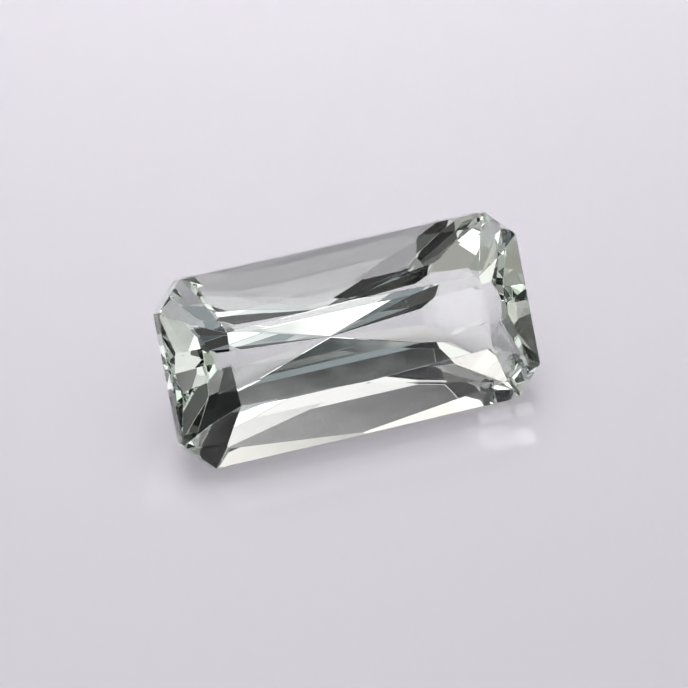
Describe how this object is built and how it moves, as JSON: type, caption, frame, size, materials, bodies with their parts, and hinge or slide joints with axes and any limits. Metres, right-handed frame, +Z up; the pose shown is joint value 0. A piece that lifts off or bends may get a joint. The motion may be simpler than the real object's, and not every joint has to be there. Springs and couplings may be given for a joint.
{
  "type": "faceted tourmaline",
  "caption": "Loose cut-corner rectangular tourmaline with a long table and slender pavilion facets, lying on a pavilion facet.",
  "frame": {"origin": "middle of the bounding box at the surface that the stone lies on", "axes": "+X along the stone, +Z up from the surface that it lies on, table facing -Y and up"},
  "size_m": [0.012, 0.005, 0.005],
  "materials": {
    "crystal": "polished clear crystal, near colourless with a faint grey-green body colour"
  },
  "bodies": {
    "root": {"tourmaline": "crystal"}
  },
  "joints": []
}
